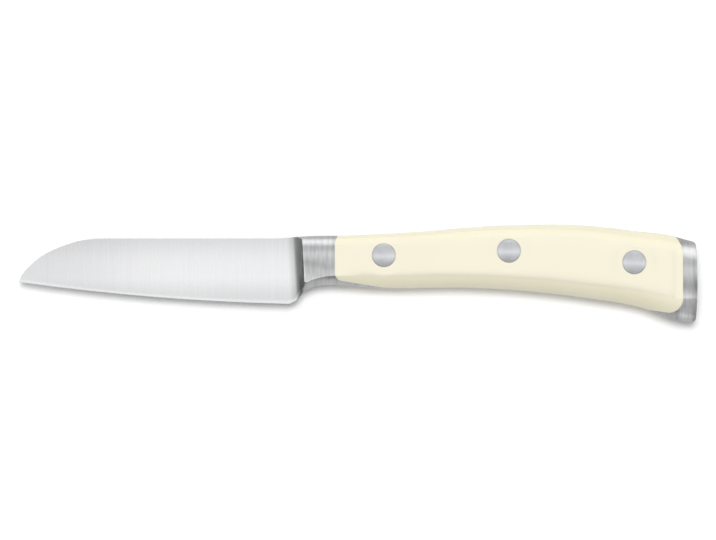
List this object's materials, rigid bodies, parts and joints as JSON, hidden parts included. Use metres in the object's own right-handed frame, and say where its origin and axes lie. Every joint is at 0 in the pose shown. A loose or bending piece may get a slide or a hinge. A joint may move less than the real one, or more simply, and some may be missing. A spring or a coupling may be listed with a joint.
{
  "type": "paring knife",
  "caption": "Forged paring knife with a straight-backed sheep's-foot blade, half bolster and full tang, and a curved handle with riveted scales and a flared steel butt.",
  "frame": {"origin": "bottom centre of the bounding box: the knife lies on its right side, and the resting flank of the grip is at Z = 0", "axes": "+X from the point to the butt, +Y from the edge to the spine, +Z across the thickness, from the right side to the left side"},
  "size_m": [0.1976, 0.0286, 0.013],
  "materials": {
    "blade_steel": "fine brushed across the blade, satin on the bolster and butt",
    "cream_scale": "satin gloss, cream",
    "rivet_steel": "ground flush, satin"
  },
  "bodies": {
    "root": {"blade_forging": "blade_steel", "left_scale": "cream_scale", "right_scale": "cream_scale", "front_rivet_tube": "rivet_steel", "front_rivet_pin": "rivet_steel", "middle_rivet_tube": "rivet_steel", "middle_rivet_pin": "rivet_steel", "rear_rivet_tube": "rivet_steel", "rear_rivet_pin": "rivet_steel"}
  },
  "joints": []
}
